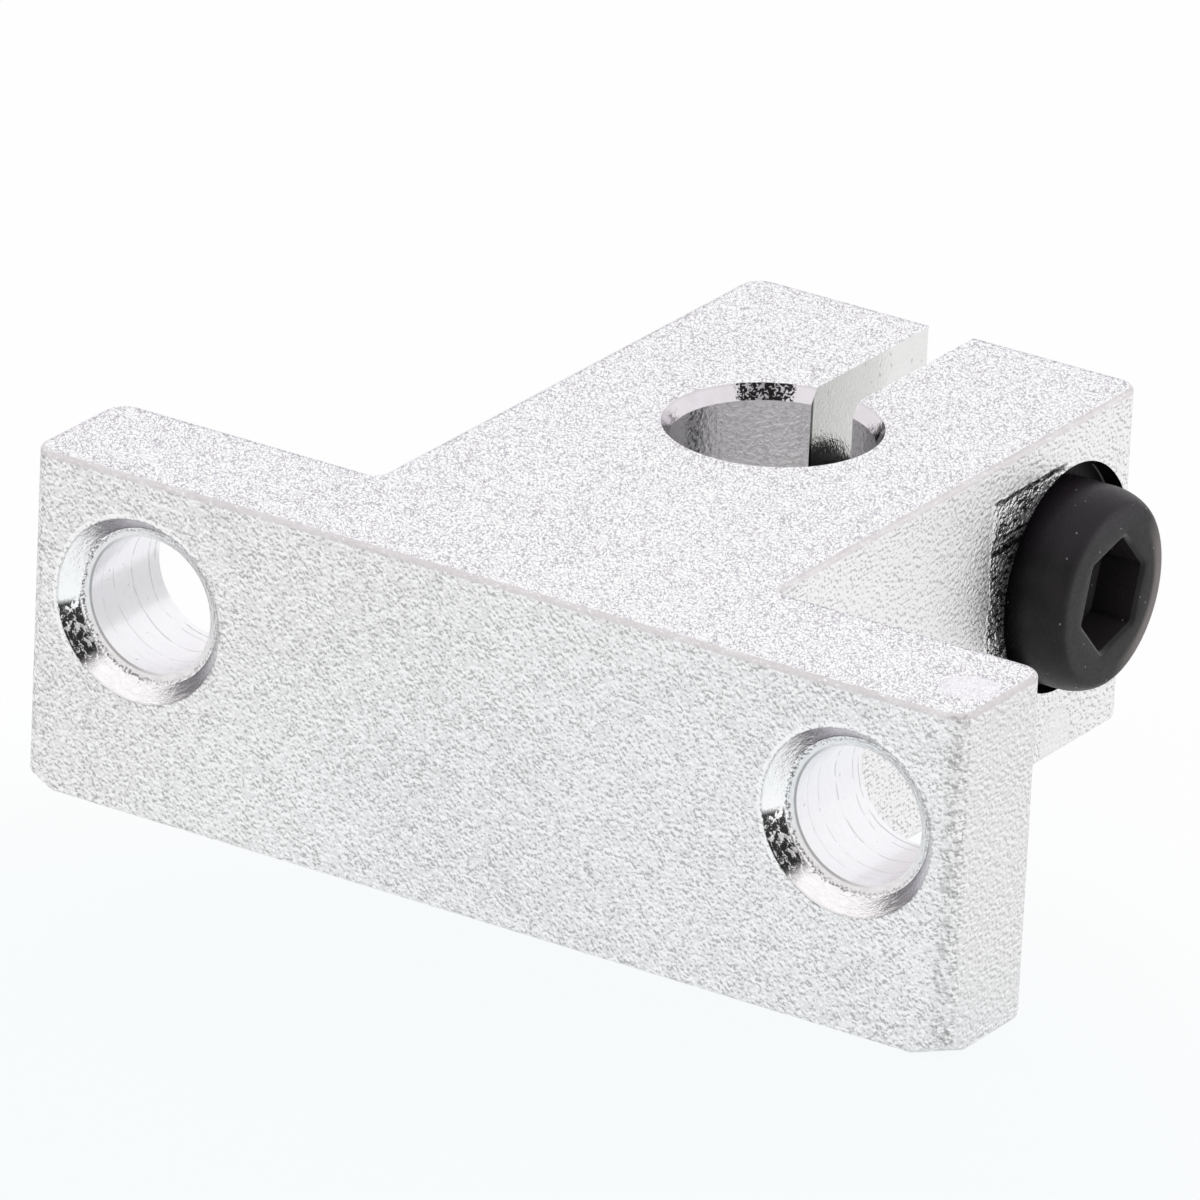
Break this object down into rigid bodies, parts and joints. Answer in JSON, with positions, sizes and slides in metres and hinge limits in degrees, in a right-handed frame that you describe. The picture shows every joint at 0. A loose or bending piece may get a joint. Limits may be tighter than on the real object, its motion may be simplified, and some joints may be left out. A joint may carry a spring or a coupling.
{
  "type": "shaft support block",
  "caption": "T-shaped light-alloy block that carries the end of a round shaft in a split bore, pinched by a socket-head screw, on a plate with countersunk mounting holes.",
  "frame": {"origin": "on the shaft bore's axis, halfway through the block's thickness", "axes": "+Z along the shaft bore, +Y from the mounting face towards the clamped end, +X along the mounting plate towards the clamp screw's head; the block lies on its flat side, 7 mm below the origin"},
  "size_m": [0.042, 0.0328, 0.014],
  "materials": {
    "cast_alloy": "shot-blasted casting with machined bore, slit and holes",
    "black_steel": "satin black oxide"
  },
  "bodies": {
    "block": {"block": "cast_alloy"},
    "clamp_screw": {"clamp_screw": "black_steel"}
  },
  "joints": [
    {"name": "clamp_screw_turn", "type": "hinge", "parent": "block", "child": "clamp_screw", "pos_m": [0, 0.00775, 0.00028], "axis": [1, 0, 0], "range_deg": [0, 720]}
  ]
}
